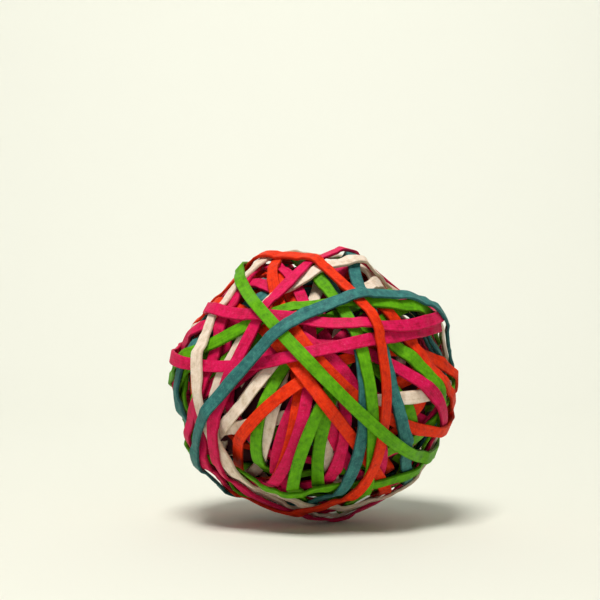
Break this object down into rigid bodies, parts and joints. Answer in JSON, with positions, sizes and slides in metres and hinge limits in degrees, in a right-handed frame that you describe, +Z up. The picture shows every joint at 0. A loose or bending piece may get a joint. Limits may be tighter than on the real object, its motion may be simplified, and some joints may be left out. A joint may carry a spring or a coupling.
{
  "type": "rubber band ball",
  "caption": "Desk ball of flat rubber bands in mixed colours, stretched one over another round a wound core, each peeled off for use",
  "frame": {"origin": "under the middle of the ball, level with its lowest point", "axes": "+Z up, -Y toward the face with the long crossing teal, green and orange bands, +X to that face's right"},
  "size_m": [0.0682, 0.069, 0.0633],
  "materials": {
    "rubber_inner": "matte, mixed bands wound as one mass",
    "rubber_green": "matte cut rubber, lightly dusted",
    "rubber_pink": "matte cut rubber, lightly dusted",
    "rubber_orange": "matte cut rubber, lightly dusted",
    "rubber_teal": "matte cut rubber, lightly dusted",
    "rubber_natural": "matte cut rubber, lightly dusted"
  },
  "bodies": {
    "root": {"inner_winding": "rubber_inner", "band_01_natural": "rubber_natural", "band_02_orange": "rubber_orange", "band_03_teal": "rubber_teal", "band_04_green": "rubber_green", "band_05_green": "rubber_green", "band_06_pink": "rubber_pink", "band_07_orange": "rubber_orange", "band_08_orange": "rubber_orange", "band_09_natural": "rubber_natural", "band_10_pink": "rubber_pink", "band_11_teal": "rubber_teal", "band_12_teal": "rubber_teal", "band_13_natural": "rubber_natural", "band_14_green": "rubber_green", "band_15_natural": "rubber_natural", "band_16_natural": "rubber_natural", "band_17_pink": "rubber_pink", "band_18_pink": "rubber_pink", "band_19_green": "rubber_green", "band_20_natural": "rubber_natural", "band_21_green": "rubber_green", "band_22_natural": "rubber_natural", "band_23_pink": "rubber_pink", "band_24_orange": "rubber_orange", "band_25_pink": "rubber_pink", "band_26_green": "rubber_green", "band_27_orange": "rubber_orange", "band_28_orange": "rubber_orange", "band_29_green": "rubber_green", "band_30_pink": "rubber_pink", "band_31_pink": "rubber_pink", "band_32_orange": "rubber_orange", "band_33_teal": "rubber_teal", "band_34_orange": "rubber_orange", "band_35_green": "rubber_green", "band_36_teal": "rubber_teal", "band_37_green": "rubber_green", "band_38_natural": "rubber_natural", "band_39_pink": "rubber_pink", "band_40_green": "rubber_green", "band_41_pink": "rubber_pink", "band_42_natural": "rubber_natural", "band_43_pink": "rubber_pink", "band_44_pink": "rubber_pink", "band_45_orange": "rubber_orange", "band_46_green": "rubber_green", "band_47_teal": "rubber_teal"}
  },
  "joints": []
}
